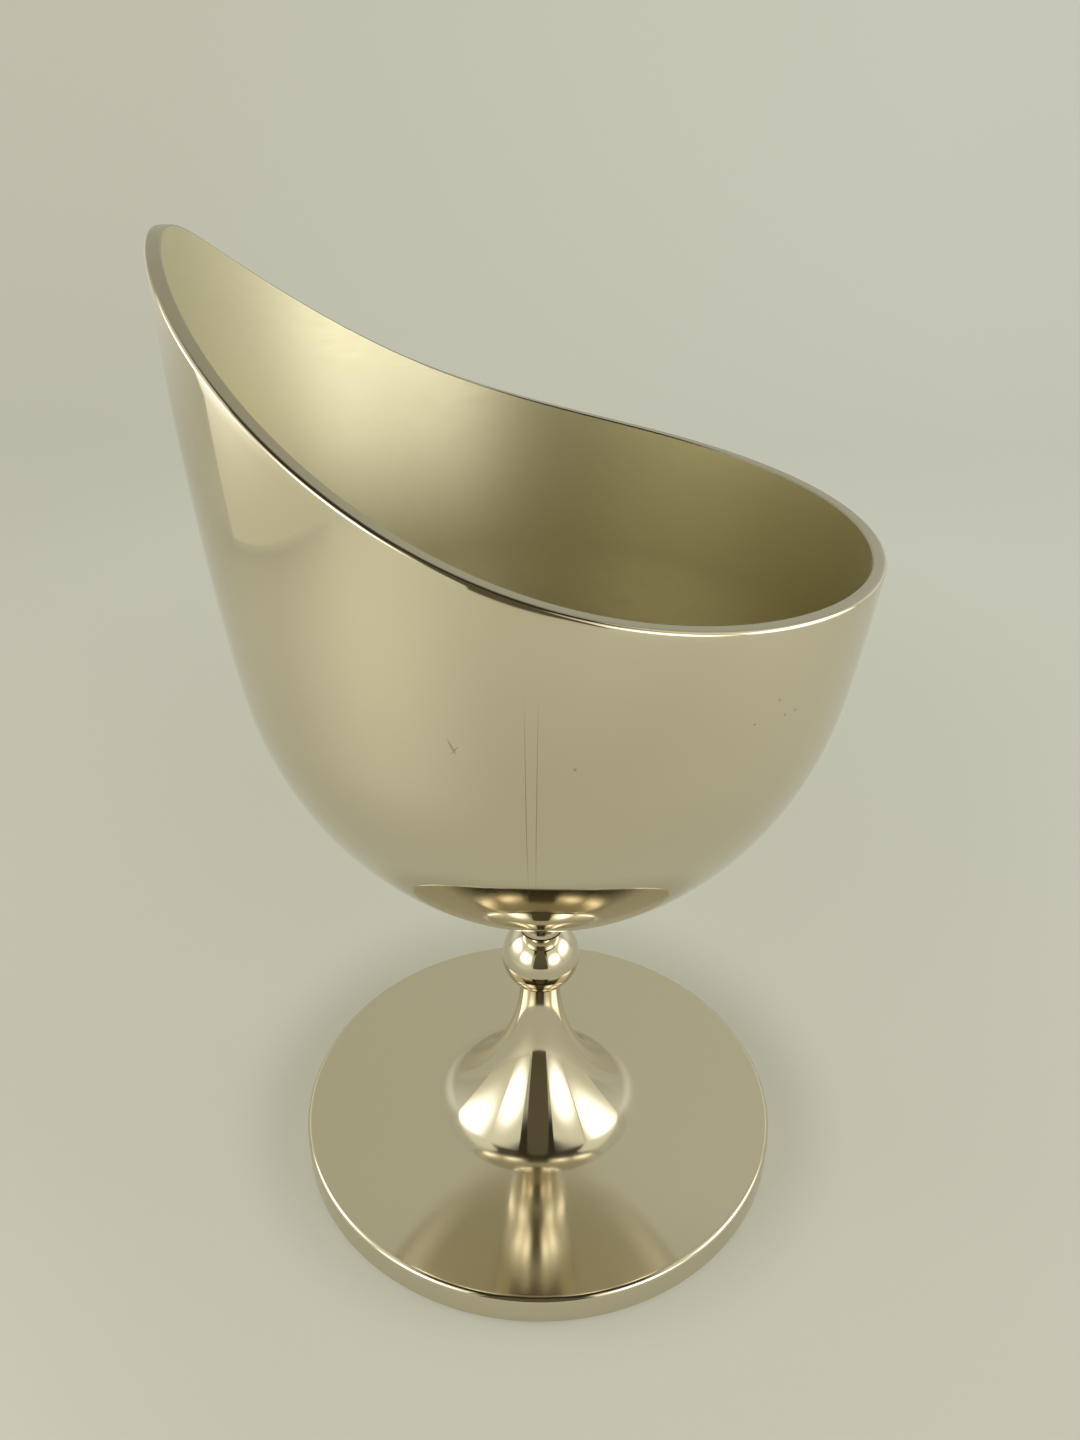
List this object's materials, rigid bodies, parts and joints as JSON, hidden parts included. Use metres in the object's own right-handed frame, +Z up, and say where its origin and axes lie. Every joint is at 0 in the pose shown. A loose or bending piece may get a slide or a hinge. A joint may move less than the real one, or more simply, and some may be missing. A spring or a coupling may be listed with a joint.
{
  "type": "chalice",
  "caption": "Polished nickel chalice with a satin-lined bowl whose rim swoops up to a tall lip on one side, on a ball knop, a trumpet stem and a disc foot.",
  "frame": {"origin": "middle of the felt pad's underside, on the common axis of foot, stem and bowl", "axes": "+Z up along the stem, -X towards the tall lip of the rim, +X towards its low side"},
  "size_m": [0.1558, 0.1542, 0.2535],
  "materials": {
    "polished_nickel": "nickel-plated casting, mirror polished outside, satin brushed inside the bowl",
    "fastener_steel": "zinc-plated",
    "felt": "dense felt"
  },
  "bodies": {
    "root": {"bowl": "polished_nickel", "collar": "polished_nickel", "knop": "polished_nickel", "stem": "polished_nickel", "disc_foot": "polished_nickel", "tie_rod": "fastener_steel", "washer": "fastener_steel", "spring_washer": "fastener_steel", "tie_nut": "fastener_steel", "felt_pad": "felt"}
  },
  "joints": []
}
